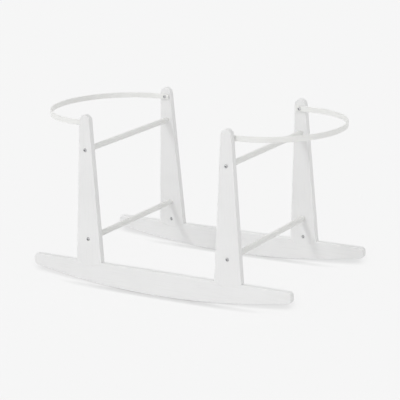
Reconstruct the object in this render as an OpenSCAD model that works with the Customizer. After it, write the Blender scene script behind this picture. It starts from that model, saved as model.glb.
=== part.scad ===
// Rocking stand for a moses basket.
// Two curved rockers carry four tapered uprights. Round crossbars join the uprights
// from front to rear, and a strap hoop at each end keeps the basket in place.
// A rocker and its two uprights make a flat frame, and the two frames lean towards each other.
// X runs along the rockers, Y from front to rear, and the floor is at Z = 0.

/* [Stand] */
// Height of the uprights' tops, along a frame
stand_h = 480; // [440:1:540]
// Clear width between the two frames at the floor
frame_gap = 420; // [380:1:480]
// Lean of each frame towards the other, in degrees
frame_lean = 1.4; // [0:0.1:3]
// Distance between the uprights of one frame, centre to centre
upright_spacing = 442; // [400:1:500]
// Thickness of the boards for rockers and uprights
board_t = 18; // [16:0.5:24]
// Radius of the rounded-over edges of the boards
edge_round = 3; // [1:0.5:6]

/* [Rockers] */
// Length of a rocker
rocker_l = 818; // [740:1:900]
// Height of a rocker at its middle
rocker_mid_h = 68; // [56:1:80]
// Height of a rocker at its ends, before its corners are rounded
rocker_end_h = 29.5; // [24:0.5:36]
// Radius of the corners at a rocker's ends
rocker_corner_r = 10; // [8:0.5:11]
// Depth of the arc-shaped notch that takes an upright's foot
notch_depth = 12; // [8:0.5:18]

/* [Uprights] */
// Width of an upright across its foot, at the rocker's top edge
foot_w = 83; // [64:0.5:100]
// Width of an upright's round top
top_w = 33.5; // [28:0.5:44]

/* [Crossbars] */
// Diameter of a crossbar
crossbar_d = 16; // [14:0.5:20]
// Drop of the upper crossbars below the hoops, along a frame
upper_crossbar_drop = 71; // [50:1:110]
// Rise of the lower crossbars above the rockers' top edges, along a frame
lower_crossbar_rise = 64.5; // [50:0.5:110]
// Depth of the socket that takes a crossbar's end
socket_depth = 8; // [5:0.5:10]

/* [Hoops] */
// Drop of the hoops' centre lines below the uprights' tops, along a frame
hoop_drop = 26; // [24:0.5:40]
// Height of the strap that a hoop is bent from
strap_h = 15; // [12:0.5:18]
// Thickness of the strap
strap_t = 4; // [3:0.5:5]
// Radius of the strap's long edges
strap_edge_r = 1; // [0.5:0.1:1.4]
// Straight length of strap from a hoop bolt to the half circle
hoop_arm = 26; // [6:1:60]
// Length of strap behind a hoop bolt
hoop_tail = 12; // [9:0.5:14]
// Radius of the corners at the strap's ends
tail_corner_r = 2; // [1:0.5:4]

/* [Fasteners] */
// Thread diameter of every bolt
bolt_d = 6; // [5:0.5:6]
// Diameter of a bolt's domed head
head_d = 10.5; // [9.5:0.5:12]
// Height of a bolt's head
head_h = 3.3; // [2.5:0.1:4]
// Width across the flats of the hexagon socket
hex_w = 4; // [3:0.5:4.5]
// Depth of the hexagon socket
hex_depth = 2; // [1:0.1:2.4]
// Outer diameter of a threaded insert
insert_d = 9; // [8.5:0.5:10]
// Length of a threaded insert
insert_l = 12; // [9:0.5:12]
// Diameter of a barrel nut
barrel_d = 10; // [9:0.5:12]
// Length of a barrel nut
barrel_l = 15; // [12:0.5:15]
// Height of a barrel nut's centre above the bottom of the notch
barrel_rise = 23; // [18:1:32]
// Depth of the counterbore above the sole for a rocker bolt
counterbore_depth = 12; // [8:0.5:18]
// Diameter of a locating pin
pin_d = 8; // [6:0.5:9]
// Length of a locating pin
pin_l = 30; // [20:1:40]
// Distance between the two pins of a foot
pin_spacing = 46; // [36:1:52]

/* [Hidden] */
// Radial clearance of the pieces that fit into bores
fit_gap = 0.05;
// Room between a strap and the leaning upright, so that the hoop swings clear of its top
strap_slack = 1;
// Radial room round a bolt's shank in the wood
shank_room = 0.4;
// Radial room round a bolt's head in its counterbore
head_room = 1.5;
// Room beyond the end of a bolt or pin in its hole
end_room = 1;
// Length of a bolt that runs past its insert or nut
bolt_tip = 3;
// Width and depth of the screwdriver slot in a barrel nut
slot_w = 1.4;
slot_depth = 1.5;
// Chamfer at the ends of a locating pin
pin_chamfer = 1;
// Bevel of the foot and of its notch along their seat, at a board's faces
seat_bevel = 0.8;
// Overrun of every cut past the face it opens
overrun = 1;
// Straight steps along the curved sole, an odd count so that one lies in the middle
sole_steps = 41;
// Sides of the round shapes that a board is wrapped round
wrap_sides = 32;
// Sides of the rounding on a board's edge
edge_sides = 16;
$fn = 64;

PAINT = [0.95, 0.95, 0.94];
STEEL = [0.42, 0.42, 0.43];
BRASS = [0.8, 0.68, 0.38];
BEECH = [0.84, 0.68, 0.48];

// Lift that puts the lower edge of a leaning rocker on the floor
frame_lift = (board_t / 2 - edge_round) * sin(frame_lean) + edge_round * (1 - cos(frame_lean));
// Places of the frames' middle planes at the floor and of the uprights' centre lines
frame_y = frame_gap / 2 + board_t / 2 / cos(frame_lean);
upright_x = upright_spacing / 2;
// Radius of the sole, from a rocker's length and the rise at its ends
sole_sag = rocker_mid_h - rocker_end_h;
sole_r = (pow(rocker_l / 2, 2) + pow(sole_sag, 2)) / (2 * sole_sag);
// Bottom of the notch, where an upright stands on its rocker
notch_z = rocker_mid_h - notch_depth;
// Arc of the seat between foot and notch: its radius and the height of its centre
seat_r = (pow(foot_w / 2, 2) + pow(notch_depth, 2)) / (2 * notch_depth);
seat_z = notch_z + seat_r;
// Height of the locating pins' middles, which lie on the seat
pin_z = seat_z - sqrt(pow(seat_r, 2) - pow(pin_spacing / 2, 2));
// Round top of an upright, and the slope of its sides from there to the foot
top_r = top_w / 2;
top_z = stand_h - top_r;
foot_reach = norm([foot_w / 2, top_z - rocker_mid_h]);
side_slope = asin(foot_w / 2 / foot_reach) - asin(top_r / foot_reach);
// Seat of a rocker bolt's head, and the nut that it pulls on
head_seat_z = sole_z(upright_x) + counterbore_depth;
barrel_z = notch_z + barrel_rise;
rocker_bolt_l = barrel_z + barrel_d / 2 + bolt_tip - head_seat_z;
// Heights of the level pieces above the floor
hoop_z = frame_z(stand_h - hoop_drop);
upper_crossbar_z = frame_z(stand_h - hoop_drop - upper_crossbar_drop);
lower_crossbar_z = frame_z(rocker_mid_h + lower_crossbar_rise);
// Thickness of a leaning board along Y
board_y = board_t / cos(frame_lean);
// Stand-off of a level bolt's head, and sink of a level insert, at a leaning face
head_lift = head_d / 2 * tan(frame_lean);
insert_sink = insert_d / 2 * tan(frame_lean);
// Level bolts: through the wood or the strap, then through the insert
crossbar_bolt_l = head_lift + board_y - socket_depth + insert_l + bolt_tip;
strap_seat = strap_slack + strap_t + fit_gap;
hoop_bolt_l = strap_seat + insert_sink + insert_l;
// Outer radius of a hoop's half circle
hoop_r = half_gap(hoop_z) - strap_slack;

SIDES = [["front", -1], ["rear", 1]];
ENDS = [["left", -1], ["right", 1]];
LEVELS = [["upper", upper_crossbar_z], ["lower", lower_crossbar_z]];
CORNERS = [for (side = SIDES) for (end = ENDS) [str(side[0], "_", end[0]), side[1], end[1]]];

// Height of the sole above the floor at a distance from the middle
function sole_z(x) = sole_r - sqrt(pow(sole_r, 2) - pow(x, 2));

// Height above the floor of a point on a frame's middle plane, from its distance along the frame
function frame_z(along) = frame_lift + along * cos(frame_lean);

// Half the clear width between the frames at a height
function half_gap(z) = frame_gap / 2 - (z - frame_lift) * tan(frame_lean);

// Leaning frame of one rocker: its middle on the origin, its sole on the floor
module on_frame(side) {
    translate([0, side * frame_y, frame_lift])
        rotate([side * frame_lean, 0, 0])
            children();
}

// Leaning frame of one upright: its centre line on Z, its inner face towards +Y
module at_corner(side, end) {
    on_frame(side)
        translate([end * upright_x, 0, 0])
            rotate([0, 0, side > 0 ? 180 : 0])
                children();
}

// Level line through an upright at a height: the upright's inner face at zero, inwards along +Y
module on_level(side, end, z) {
    translate([end * upright_x, side * half_gap(z), z])
        rotate([0, 0, side > 0 ? 180 : 0])
            children();
}

// Disc as thick as a board, standing in the XZ plane, with rounded-over rims
module rimmed_disc(radius) {
    rotate([90, 0, 0])
        rotate_extrude($fn = wrap_sides)
            intersection() {
                offset(r = edge_round, $fn = edge_sides)
                    square([2 * (radius - edge_round), board_t - 2 * edge_round], center = true);
                translate([0, -board_t / 2])
                    square([radius, board_t]);
            }
}

// Straight hole along Y
module hole_y(d, from_y, to_y) {
    translate([0, from_y, 0])
        rotate([-90, 0, 0])
            cylinder(d = d, h = to_y - from_y);
}

// Straight hole along Z
module hole_z(d, from_z, to_z) {
    translate([0, 0, from_z])
        cylinder(d = d, h = to_z - from_z);
}

// Rocker board before its joints are cut: a wrap round discs along the sole and at the top corners
module rocker_blank() {
    centre_r = sole_r - rocker_corner_r;
    corner_x = rocker_l / 2 - rocker_corner_r;
    end_angle = asin(corner_x / centre_r);
    hull() {
        for (step = [0 : sole_steps]) {
            angle = end_angle * (2 * step / sole_steps - 1);
            translate([centre_r * sin(angle), 0, sole_r - centre_r * cos(angle)])
                rotate([0, -angle, 0])
                    rimmed_disc(rocker_corner_r);
        }
        for (end = ENDS)
            translate([end[1] * corner_x, 0, rocker_mid_h - rocker_corner_r])
                rimmed_disc(rocker_corner_r);
    }
}

// Disc right through a board that shapes the seat, its rim bevelled outwards or inwards at the faces
module seat_disc(radius, bevel) {
    bevel_y = board_t / 2 - abs(bevel);
    end_y = board_t / 2 + overrun;
    end_r = radius + bevel + sign(bevel) * overrun;
    translate([0, 0, seat_z])
        rotate([90, 0, 0])
            rotate_extrude()
                polygon([
                    [0, -end_y],
                    [end_r, -end_y],
                    [radius, -bevel_y],
                    [radius, bevel_y],
                    [end_r, end_y],
                    [0, end_y]
                ]);
}

// Upright board before its holes are cut: its sides run on past the foot, which the seat then rounds
module upright_blank() {
    heel_x = (top_z - notch_z) * tan(side_slope);
    difference() {
        hull() {
            translate([0, 0, top_z])
                rimmed_disc(top_r);
            for (end = ENDS)
                translate([end[1] * heel_x, 0, notch_z])
                    rimmed_disc(top_r);
        }
        difference() {
            translate([-foot_w, -board_t, notch_z - foot_w])
                cube([2 * foot_w, 2 * board_t, foot_w + notch_depth + overrun]);
            seat_disc(seat_r, -seat_bevel);
        }
    }
}

// Both locating pins' places at a foot
module at_pins() {
    for (end = ENDS)
        translate([end[1] * pin_spacing / 2, 0, 0])
            children();
}

// Bolt along +Z from the seat of its domed head
module bolt(length) {
    dome_r = (pow(head_d / 2, 2) + pow(head_h, 2)) / (2 * head_h);
    color(STEEL)
        difference() {
            union() {
                intersection() {
                    translate([0, 0, dome_r - head_h])
                        sphere(dome_r);
                    translate([0, 0, -head_h - overrun])
                        cylinder(d = 2 * head_d, h = head_h + overrun);
                }
                cylinder(d = bolt_d, h = length);
            }
            translate([0, 0, -head_h - overrun])
                cylinder(d = hex_w / cos(30), h = hex_depth + overrun, $fn = 6);
        }
}

// Threaded insert along +Z
module insert() {
    color(BRASS)
        difference() {
            cylinder(d = insert_d, h = insert_l);
            hole_z(bolt_d + 2 * fit_gap, -overrun, insert_l + overrun);
        }
}

module rocker(side) {
    color(PAINT)
        on_frame(side)
            difference() {
                rocker_blank();
                for (end = ENDS)
                    translate([end[1] * upright_x, 0, 0]) {
                        seat_disc(seat_r + fit_gap, seat_bevel);
                        hole_z(head_d + 2 * head_room, -overrun, head_seat_z);
                        hole_z(bolt_d + 2 * shank_room, 0, notch_z + overrun);
                        at_pins()
                            hole_z(pin_d + 2 * fit_gap, pin_z - pin_l / 2 - end_room, rocker_mid_h);
                    }
            }
}

module upright(side, end) {
    color(PAINT)
        difference() {
            at_corner(side, end)
                upright_blank();
            at_corner(side, end) {
                translate([0, 0, barrel_z])
                    hole_y(barrel_d + 2 * fit_gap, -barrel_l / 2, board_t / 2 + overrun);
                hole_z(bolt_d + 2 * shank_room, notch_z - overrun, head_seat_z + rocker_bolt_l + end_room);
                at_pins()
                    hole_z(pin_d + 2 * fit_gap, notch_z - overrun, pin_z + pin_l / 2 + end_room);
            }
            for (level = LEVELS)
                on_level(side, end, level[1]) {
                    hole_y(crossbar_d + 2 * fit_gap, -socket_depth, overrun);
                    hole_y(bolt_d + 2 * shank_room, -board_y - overrun, 0);
                }
            on_level(side, end, hoop_z)
                hole_y(insert_d + 2 * fit_gap, -insert_sink - insert_l - end_room, overrun);
        }
}

module crossbar(end, z) {
    half_l = half_gap(z) + socket_depth;
    pilot_l = insert_l + bolt_tip + end_room;
    color(PAINT)
        translate([end * upright_x, 0, z])
            difference() {
                hole_y(crossbar_d, -half_l, half_l);
                for (side = SIDES)
                    rotate([0, 0, side[1] > 0 ? 180 : 0]) {
                        hole_y(insert_d + 2 * fit_gap, -half_l - overrun, insert_l - half_l);
                        hole_y(bolt_d + 2 * shank_room, -half_l, pilot_l - half_l);
                    }
            }
}

// Flat rectangle with rounded corners, its lower left corner on the origin
module round_rect(w, h, corner_r) {
    translate([corner_r, 0])
        square([w - 2 * corner_r, h]);
    translate([0, corner_r])
        square([w, h - 2 * corner_r]);
    for (x = [corner_r, w - corner_r])
        for (y = [corner_r, h - corner_r])
            translate([x, y])
                circle(corner_r);
}

// Section of the strap, its inner face on the vertical axis
module strap_section() {
    round_rect(strap_t, strap_h, strap_edge_r);
}

// Straight end of a hoop along X, from its round-cornered tip to the half circle
module strap_end() {
    straight_l = hoop_tail + hoop_arm;
    translate([-hoop_tail, 0, 0])
        intersection() {
            rotate([90, 0, 90])
                linear_extrude(straight_l)
                    strap_section();
            translate([0, strap_t + overrun, 0])
                rotate([90, 0, 0])
                    linear_extrude(strap_t + 2 * overrun)
                        round_rect(straight_l + 2 * tail_corner_r, strap_h, tail_corner_r);
        }
}

// Strap bent to a half circle, with its straight ends against the uprights
module hoop(end) {
    inner_r = hoop_r - strap_t;
    color(PAINT)
        rotate([0, 0, end < 0 ? 180 : 0])
            translate([upright_x, 0, hoop_z])
                difference() {
                    translate([0, 0, -strap_h / 2]) {
                        translate([hoop_arm, 0, 0])
                            rotate([0, 0, -90])
                                rotate_extrude(angle = 180)
                                    translate([inner_r, 0])
                                        strap_section();
                        for (side = SIDES)
                            mirror([0, side[1] < 0 ? 1 : 0, 0])
                                translate([0, inner_r, 0])
                                    strap_end();
                    }
                    hole_y(bolt_d + 2 * fit_gap, -hoop_r - overrun, hoop_r + overrun);
                }
}

module crossbar_bolt(side, end, z) {
    on_level(side, end, z)
        translate([0, -board_y - head_lift, 0])
            rotate([-90, 0, 0])
                bolt(crossbar_bolt_l);
}

module crossbar_insert(side, end, z) {
    on_level(side, end, z)
        translate([0, -socket_depth, 0])
            rotate([-90, 0, 0])
                insert();
}

module hoop_bolt(side, end) {
    on_level(side, end, hoop_z)
        translate([0, strap_seat, 0])
            rotate([90, 0, 0])
                bolt(hoop_bolt_l);
}

module hoop_insert(side, end) {
    on_level(side, end, hoop_z)
        translate([0, -insert_sink, 0])
            rotate([90, 0, 0])
                insert();
}

module rocker_bolt(side, end) {
    at_corner(side, end)
        translate([0, 0, head_seat_z])
            bolt(rocker_bolt_l);
}

module barrel_nut(side, end) {
    color(STEEL)
        at_corner(side, end)
            translate([0, 0, barrel_z])
                difference() {
                    hole_y(barrel_d, -barrel_l / 2, barrel_l / 2);
                    hole_z(bolt_d + 2 * fit_gap, -barrel_d, barrel_d);
                    translate([-slot_w / 2, barrel_l / 2 - slot_depth, -barrel_d])
                        cube([slot_w, slot_depth + overrun, 2 * barrel_d]);
                }
}

module locating_pins(side, end) {
    end_r = pin_d / 2 - pin_chamfer;
    color(BEECH)
        at_corner(side, end)
            at_pins()
                translate([0, 0, pin_z - pin_l / 2])
                    rotate_extrude()
                        polygon([
                            [0, 0],
                            [end_r, 0],
                            [pin_d / 2, pin_chamfer],
                            [pin_d / 2, pin_l - pin_chamfer],
                            [end_r, pin_l],
                            [0, pin_l]
                        ]);
}

for (side = SIDES)
    rocker(side[1]);
for (end = ENDS)
    hoop(end[1]);
for (end = ENDS)
    for (level = LEVELS)
        crossbar(end[1], level[1]);
for (corner = CORNERS) {
    name = corner[0];
    side = corner[1];
    end = corner[2];
    upright(side, end);
    hoop_bolt(side, end);
    hoop_insert(side, end);
    rocker_bolt(side, end);
    barrel_nut(side, end);
    locating_pins(side, end);
    for (level = LEVELS) {
        place = str(name, "_", level[0]);
        crossbar_bolt(side, end, level[1]);
        crossbar_insert(side, end, level[1]);
    }
}
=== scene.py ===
"""Looks of the rocking moses basket stand: white paint, metal, light, floor and camera."""
import math

import bpy
from mathutils import Matrix, Vector

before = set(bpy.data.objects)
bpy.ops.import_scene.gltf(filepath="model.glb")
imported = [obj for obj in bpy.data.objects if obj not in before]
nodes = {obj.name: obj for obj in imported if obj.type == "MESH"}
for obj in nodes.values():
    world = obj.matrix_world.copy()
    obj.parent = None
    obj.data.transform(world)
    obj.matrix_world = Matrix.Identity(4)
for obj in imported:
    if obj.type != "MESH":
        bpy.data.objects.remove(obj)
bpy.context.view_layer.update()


def grey(level):
    """A neutral colour of this brightness."""
    return (level, level, level, 1.0)


# Camera: places in metres, angles in degrees, sensor and lens in millimetres
CAMERA_TARGET = Vector((0.00728, 0.0, 0.21457))
CAMERA_DISTANCE = 4.37
CAMERA_AZIMUTH = 31.198
CAMERA_ELEVATION = 15.149
CAMERA_ROLL = -1.716
CAMERA_SENSOR = 36.0
CAMERA_LENS = 140.97

# Light, with angles in degrees: a dome that fades from the horizon up, a soft key from the upper left of
# the front that lights the stand, and a low, wide sweep from the front right that lights the floor
DOME_COLOUR = grey(1.0)
DOME_HORIZON = 0.878
DOME_ZENITH = 0.612
KEY_TRAVEL = Vector((0.42, 0.95, -1.0))
KEY_STRENGTH = 0.68
KEY_ANGLE = 11.0
SWEEP_TRAVEL = Vector((-0.466, 0.769, -0.438))
SWEEP_STRENGTH = 7.18
SWEEP_ANGLE = 22.0

# Floor and background, as the camera sees them, and what the floor throws back on the stand
BACKGROUND = grey(0.922)
FLOOR_SIZE = 60.0
FLOOR_BOUNCE = grey(0.462)
FLOOR_GLOW = grey(0.727)
FLOOR_SHADED = grey(1.0)
FLOOR_SHADOW_SHARE = 0.2

# Painted shade on the floor's glow in front of where the rockers touch it: its reach in metres, how far
# up from level it looks to the rear in degrees, and the openness over which it fades
FLOOR_CONTACT = grey(0.44)
FLOOR_CONTACT_REACH = 0.025
FLOOR_CONTACT_TILT = 12.0
FLOOR_CONTACT_SPAN = (0.45, 1.0)

# Smooth shading
WELD_DISTANCE = 2e-6
SHARP_ANGLE = math.radians(35)
FACE_WEIGHT = 50

# Noise in the materials: scales count features per metre before any stretch, and depths are in metres
EVEN = (1.0, 1.0, 1.0)
FINE_DETAIL = 2.0
CLOUD_DETAIL = 3.0
MARK_DETAIL = 4.0
GRAIN_DETAIL = 5.0
NOISE_ROUGHNESS = 0.5
CLOUD_SPAN = (0.3, 0.62)

# Painted wood
PAINT_LIGHT = (0.878, 0.878, 0.876, 1.0)
PAINT_DARK = (0.856, 0.856, 0.853, 1.0)
# The crossbars take a darker, warmer copy of the white paint: painted shade for the shade the round bars
# sit in
CROSSBAR_SHADED_LIGHT = (0.846, 0.847, 0.830, 1.0)
CROSSBAR_SHADED_DARK = (0.824, 0.825, 0.808, 1.0)
PAINT_CLOUD_SCALE = 9.0
PAINT_ROUGHNESS = (0.34, 0.52)
GRAIN_CLEAR = grey(1.0)
GRAIN_SHADE = (0.972, 0.972, 0.970, 1.0)
GRAIN_ACROSS = 60.0
GRAIN_ALONG = 2.4
GRAIN_SCALE = 5.0
GRAIN_NOISE_ROUGHNESS = 0.6
GRAIN_SPAN = (0.32, 0.5)
GRAIN_DEPTH = 0.0003
STIPPLE_SCALE = 1400.0
STIPPLE_DEPTH = 0.00004

# Powder-coated strap
STRAP_LIGHT = (0.895, 0.896, 0.878, 1.0)
STRAP_DARK = (0.870, 0.871, 0.851, 1.0)
STRAP_CLOUD_SCALE = 14.0
STRAP_ROUGHNESS = (0.3, 0.44)
PEEL_SCALE = 700.0
PEEL_DEPTH = 0.00005

# Metals
STEEL_LIGHT = (0.58, 0.58, 0.59, 1.0)
STEEL_DARK = (0.38, 0.38, 0.39, 1.0)
STEEL_ROUGHNESS = (0.28, 0.42)
ZINC_LIGHT = (0.74, 0.74, 0.75, 1.0)
ZINC_DARK = (0.54, 0.54, 0.55, 1.0)
ZINC_ROUGHNESS = (0.3, 0.45)
BRASS_LIGHT = (0.80, 0.66, 0.36, 1.0)
BRASS_DARK = (0.60, 0.46, 0.22, 1.0)
BRASS_ROUGHNESS = (0.25, 0.4)
MARK_STRETCH = (1.0, 1.0, 6.0)
MARK_SCALE = 900.0
MARK_SPAN = (0.25, 0.7)
MARK_DEPTH = 0.00002
# Reach in metres of the painted shade that darkens the metals' colour in their recesses
PAINTED_SHADE_REACH = 0.003

# Bare beech
BEECH_LIGHT = (0.80, 0.64, 0.44, 1.0)
BEECH_DARK = (0.62, 0.45, 0.28, 1.0)
BEECH_STRETCH = (260.0, 260.0, 18.0)
BEECH_SCALE = 4.0
BEECH_DETAIL = 4.0
BEECH_SPAN = (0.3, 0.7)
BEECH_ROUGHNESS = (0.55, 0.7)
BEECH_DEPTH = 0.00008


class Tree:
    """A node tree, with short calls to add and join its nodes."""

    def __init__(self, tree):
        self.tree = tree

    def add(self, kind, inputs=None, **settings):
        """A new node with these settings and inputs."""
        made = self.tree.nodes.new(kind)
        for key, value in settings.items():
            setattr(made, key, value)
        for key, value in (inputs or {}).items():
            self.put(made.inputs[key], value)
        return made

    def put(self, socket, value):
        """Joins the socket to another one, or sets it to a value."""
        if isinstance(value, bpy.types.NodeSocket):
            self.tree.links.new(value, socket)
        else:
            socket.default_value = value

    def span(self, value, low, high):
        """The value, moved from the range 0 to 1 to the range low to high."""
        inputs = {"Value": value, "To Min": low, "To Max": high}
        return self.add("ShaderNodeMapRange", inputs).outputs["Result"]

    def mix(self, share, first, second):
        """Two shaders, with the second one's share."""
        return self.add("ShaderNodeMixShader", {"Fac": share, 1: first, 2: second}).outputs["Shader"]

    def larger(self, first, second):
        """The larger of two values."""
        return self.add("ShaderNodeMath", {0: first, 1: second}, operation="MAXIMUM").outputs["Value"]

    def seen_ray(self):
        """One for a ray from the camera, also by way of a mirror or glass, and zero for other light."""
        path = self.add("ShaderNodeLightPath").outputs
        mirrored = self.larger(path["Is Camera Ray"], path["Is Glossy Ray"])
        return self.larger(mirrored, path["Is Transmission Ray"])


class Shader(Tree):
    """A material and its node tree."""

    def __init__(self, name):
        self.material = bpy.data.materials.new(name)
        self.material.use_nodes = True
        super().__init__(self.material.node_tree)
        self.principled = self.tree.nodes["Principled BSDF"]

    def set(self, **inputs):
        """Sets or joins inputs of the main shader, named with underscores for spaces."""
        for key, value in inputs.items():
            self.put(self.principled.inputs[key.replace("_", " ")], value)

    def stretched(self, scale):
        """Coordinates of the piece, scaled by axis."""
        place = self.add("ShaderNodeTexCoord").outputs["Object"]
        return self.add("ShaderNodeMapping", {"Vector": place, "Scale": scale}).outputs["Vector"]

    def noise(self, coordinates, scale, detail, roughness=NOISE_ROUGHNESS):
        """Noise from 0 to 1."""
        inputs = {"Vector": coordinates, "Scale": scale, "Detail": detail, "Roughness": roughness}
        return self.add("ShaderNodeTexNoise", inputs).outputs["Fac"]

    def ramp(self, value, low, high, start, end):
        """Colours or greys that go from low to high as the value goes from start to end."""
        made = self.add("ShaderNodeValToRGB", {"Fac": value})
        for stop, place, colour in zip(made.color_ramp.elements, (start, end), (low, high)):
            stop.position = place
            stop.color = colour
        return made.outputs["Color"]

    def shaded(self, colour, shade):
        """The colour times a shade."""
        made = self.add("ShaderNodeMix", {"Factor": 1.0}, data_type="RGBA", blend_type="MULTIPLY")
        first, second = (socket for socket in made.inputs if socket.type == "RGBA")
        self.put(first, colour)
        self.put(second, shade)
        return next(socket for socket in made.outputs if socket.type == "RGBA")

    def bump(self, height, depth, before=None):
        """Relief of this depth, on top of any relief before it."""
        inputs = {"Height": height, "Distance": depth}
        if before is not None:
            inputs["Normal"] = before
        return self.add("ShaderNodeBump", inputs).outputs["Normal"]


def painted_wood(name, along, dark, light):
    """White satin paint over wood, with its faint grain along one axis."""
    shader = Shader(name)
    stretch = [GRAIN_ACROSS, GRAIN_ACROSS, GRAIN_ACROSS]
    stretch[along] = GRAIN_ALONG
    grain = shader.noise(shader.stretched(stretch), GRAIN_SCALE, GRAIN_DETAIL, GRAIN_NOISE_ROUGHNESS)
    even = shader.stretched(EVEN)
    cloud = shader.noise(even, PAINT_CLOUD_SCALE, CLOUD_DETAIL)
    stipple = shader.noise(even, STIPPLE_SCALE, FINE_DETAIL)
    tone = shader.ramp(cloud, dark, light, *CLOUD_SPAN)
    shade = shader.ramp(grain, GRAIN_SHADE, GRAIN_CLEAR, *GRAIN_SPAN)
    shader.set(
        Base_Color=shader.shaded(tone, shade),
        Roughness=shader.span(grain, *PAINT_ROUGHNESS),
        Normal=shader.bump(stipple, STIPPLE_DEPTH, shader.bump(grain, GRAIN_DEPTH)),
    )
    return shader.material


def painted_strap():
    """White powder coat on steel strap, with its fine orange peel."""
    shader = Shader("strap_powder_coat")
    even = shader.stretched(EVEN)
    peel = shader.noise(even, PEEL_SCALE, FINE_DETAIL)
    cloud = shader.noise(even, STRAP_CLOUD_SCALE, CLOUD_DETAIL)
    shader.set(
        Base_Color=shader.ramp(cloud, STRAP_DARK, STRAP_LIGHT, *CLOUD_SPAN),
        Roughness=shader.span(peel, *STRAP_ROUGHNESS),
        Normal=shader.bump(peel, PEEL_DEPTH),
    )
    return shader.material


def turned_metal(name, dark, light, roughness):
    """Plated or machined metal with fine tool marks, and painted shade where it is closed in, as in its
    sockets and where it meets the wood.
    """
    shader = Shader(name)
    marks = shader.noise(shader.stretched(MARK_STRETCH), MARK_SCALE, MARK_DETAIL)
    bare = shader.ramp(marks, dark, light, *MARK_SPAN)
    # Painted shade: ambient occlusion darkens the colour in recesses such as the hex sockets
    painted_shade = {"Color": bare, "Distance": PAINTED_SHADE_REACH}
    shader.set(
        Base_Color=shader.add("ShaderNodeAmbientOcclusion", painted_shade).outputs["Color"],
        Metallic=1.0,
        Roughness=shader.span(marks, *roughness),
        Normal=shader.bump(marks, MARK_DEPTH),
    )
    return shader.material


def bare_beech():
    """Unpainted beech of the locating pins, with its grain up the pin."""
    shader = Shader("bare_beech")
    grain = shader.noise(shader.stretched(BEECH_STRETCH), BEECH_SCALE, BEECH_DETAIL)
    shader.set(
        Base_Color=shader.ramp(grain, BEECH_DARK, BEECH_LIGHT, *BEECH_SPAN),
        Roughness=shader.span(grain, *BEECH_ROUGHNESS),
        Normal=shader.bump(grain, BEECH_DEPTH),
    )
    return shader.material


def floor_paper():
    """Pale paper that keeps the stand's shadow, with painted shade on its glow in front of where the
    rockers touch it.
    """
    shader = Shader("floor_paper")
    tilt = math.radians(FLOOR_CONTACT_TILT)
    rearward = {"Y": math.cos(tilt), "Z": math.sin(tilt)}
    facing = shader.add("ShaderNodeCombineXYZ", rearward).outputs["Vector"]
    nearby = {"Distance": FLOOR_CONTACT_REACH, "Normal": facing}
    openness = shader.add("ShaderNodeAmbientOcclusion", nearby).outputs["AO"]
    # Painted shade: the floor's glow darkens by ambient occlusion in front of where the rockers touch it
    contact = shader.ramp(openness, FLOOR_CONTACT, FLOOR_GLOW, *FLOOR_CONTACT_SPAN)
    glow = shader.add("ShaderNodeEmission", {"Color": contact}).outputs["Emission"]
    shaded = shader.add("ShaderNodeBsdfDiffuse", {"Color": FLOOR_SHADED}).outputs["BSDF"]
    bounce = shader.add("ShaderNodeBsdfDiffuse", {"Color": FLOOR_BOUNCE}).outputs["BSDF"]
    shown = shader.mix(FLOOR_SHADOW_SHARE, glow, shaded)
    surface = shader.mix(shader.seen_ray(), bounce, shown)
    shader.put(shader.tree.nodes["Material Output"].inputs["Surface"], surface)
    return shader.material


def smooth_group():
    """Geometry nodes that join a mesh's faces and keep only its true edges sharp."""
    group = bpy.data.node_groups.new("smooth_faces", "GeometryNodeTree")
    for way in ("INPUT", "OUTPUT"):
        group.interface.new_socket("Geometry", in_out=way, socket_type="NodeSocketGeometry")
    tree = Tree(group)
    start = tree.add("NodeGroupInput").outputs["Geometry"]
    weld = tree.add("GeometryNodeMergeByDistance", {"Geometry": start, "Distance": WELD_DISTANCE})
    joined = {"Geometry": weld.outputs["Geometry"]}
    faces = tree.add("GeometryNodeSetShadeSmooth", joined, domain="FACE")
    angle = tree.add("GeometryNodeInputMeshEdgeAngle").outputs["Unsigned Angle"]
    limit = {"A": angle, "B": SHARP_ANGLE}
    below = tree.add("FunctionNodeCompare", limit, data_type="FLOAT", operation="LESS_THAN")
    rounded = {"Geometry": faces.outputs["Geometry"], "Shade Smooth": below.outputs["Result"]}
    edges = tree.add("GeometryNodeSetShadeSmooth", rounded, domain="EDGE")
    tree.add("NodeGroupOutput", {"Geometry": edges.outputs["Geometry"]})
    return group


def shade_smooth(piece, group):
    """Round faces shade as round and flat ones as flat."""
    stored_normals = piece.data.attributes.get("custom_normal")
    if stored_normals is not None:
        piece.data.attributes.remove(stored_normals)
    piece.modifiers.new("smooth_faces", "NODES").node_group = group
    weighted = piece.modifiers.new("weighted_normals", "WEIGHTED_NORMAL")
    weighted.mode = "FACE_AREA"
    weighted.weight = FACE_WEIGHT
    weighted.keep_sharp = True


def finish_pieces():
    """Every piece gets its material and its smooth shading."""
    axis_x, axis_y, axis_z = range(3)
    zinc = turned_metal("zinc_plate", ZINC_DARK, ZINC_LIGHT, ZINC_ROUGHNESS)
    finishes = {
        "rocker": painted_wood("rocker_paint", axis_x, PAINT_DARK, PAINT_LIGHT),
        "upright": painted_wood("upright_paint", axis_z, PAINT_DARK, PAINT_LIGHT),
        # The crossbars' darker copy of the paint is painted shade
        "crossbar": painted_wood("crossbar_paint_shaded", axis_y, CROSSBAR_SHADED_DARK, CROSSBAR_SHADED_LIGHT),
        "hoop": painted_strap(),
        "bolt": turned_metal("satin_steel", STEEL_DARK, STEEL_LIGHT, STEEL_ROUGHNESS),
        "hoop_bolt": zinc,
        "nut": zinc,
        "insert": turned_metal("machined_brass", BRASS_DARK, BRASS_LIGHT, BRASS_ROUGHNESS),
        "pins": bare_beech(),
    }
    group = smooth_group()
    for name, piece in nodes.items():
        kind = "hoop_bolt" if name.endswith("hoop_bolt") else name.split("_")[-1]
        piece.data.materials.clear()
        piece.data.materials.append(finishes[kind])
        shade_smooth(piece, group)


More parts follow.
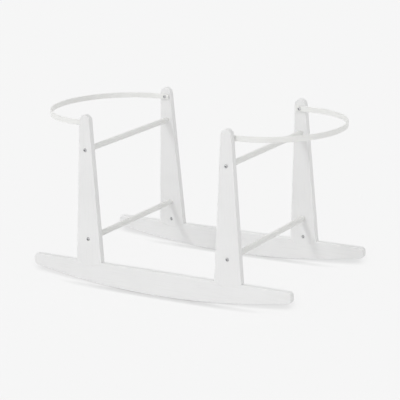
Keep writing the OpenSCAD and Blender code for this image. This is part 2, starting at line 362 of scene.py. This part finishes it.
def build_floor():
    """A plain pale floor under the stand."""
    half = FLOOR_SIZE / 2
    mesh = bpy.data.meshes.new("floor")
    corners = [(-half, -half, 0), (half, -half, 0), (half, half, 0), (-half, half, 0)]
    mesh.from_pydata(corners, [], [(0, 1, 2, 3)])
    mesh.materials.append(floor_paper())
    floor = bpy.data.objects.new("floor", mesh)
    bpy.context.scene.collection.objects.link(floor)
    return floor


def build_dome():
    """A dome of light that fades from the horizon up, which the camera sees as the plain background."""
    world = bpy.data.worlds.new("studio")
    bpy.context.scene.world = world
    world.use_nodes = True
    dome = Tree(world.node_tree)
    direction = dome.add("ShaderNodeTexCoord").outputs["Generated"]
    height = dome.add("ShaderNodeSeparateXYZ", {"Vector": direction}).outputs["Z"]
    fading = {"Color": DOME_COLOUR, "Strength": dome.span(height, DOME_HORIZON, DOME_ZENITH)}
    light = dome.add("ShaderNodeBackground", fading).outputs["Background"]
    shown = dome.add("ShaderNodeBackground", {"Color": BACKGROUND}).outputs["Background"]
    surface = dome.mix(dome.seen_ray(), light, shown)
    dome.put(dome.tree.nodes["World Output"].inputs["Surface"], surface)


def add_sun(name, travel, strength, angle):
    """A soft sun that shines along a direction."""
    data = bpy.data.lights.new(name, "SUN")
    data.energy = strength
    data.angle = math.radians(angle)
    sun = bpy.data.objects.new(name, data)
    sun.rotation_mode = "QUATERNION"
    sun.rotation_quaternion = travel.to_track_quat("-Z", "Y")
    bpy.context.scene.collection.objects.link(sun)
    return sun


def group_of(name, pieces):
    """A collection of these pieces for a lamp's links, not part of the scene itself."""
    group = bpy.data.collections.new(name)
    for piece in pieces:
        group.objects.link(piece)
    return group


def build_lamps(floor):
    """A key that lights the stand only, and a sweep that lights the floor, with the rockers' shadows."""
    key = add_sun("key", KEY_TRAVEL, KEY_STRENGTH, KEY_ANGLE).light_linking
    key.receiver_collection = group_of("lit_by_key", nodes.values())
    sweep = add_sun("sweep", SWEEP_TRAVEL, SWEEP_STRENGTH, SWEEP_ANGLE).light_linking
    sweep.receiver_collection = group_of("lit_by_sweep", [floor])
    sweep.blocker_collection = group_of("blocks_sweep", [nodes["front_rocker"], nodes["rear_rocker"]])


def build_camera():
    """The camera at the photograph's angle, with its small roll."""
    azimuth, elevation, roll = map(math.radians, (CAMERA_AZIMUTH, CAMERA_ELEVATION, CAMERA_ROLL))
    back = Vector((
        math.sin(azimuth) * math.cos(elevation),
        -math.cos(azimuth) * math.cos(elevation),
        math.sin(elevation),
    ))
    level = Vector((math.cos(azimuth), math.sin(azimuth), 0.0))
    upright = back.cross(level)
    right = math.cos(roll) * level + math.sin(roll) * upright
    up = back.cross(right)
    turn = Matrix((right, up, back)).transposed().to_4x4()
    data = bpy.data.cameras.new("camera")
    data.sensor_width = CAMERA_SENSOR
    data.lens = CAMERA_LENS
    camera = bpy.data.objects.new("camera", data)
    camera.matrix_world = Matrix.Translation(CAMERA_TARGET + CAMERA_DISTANCE * back) @ turn
    bpy.context.scene.collection.objects.link(camera)
    bpy.context.scene.camera = camera


build_camera()
build_dome()
build_lamps(build_floor())
finish_pieces()
bpy.context.scene.view_settings.view_transform = "Standard"
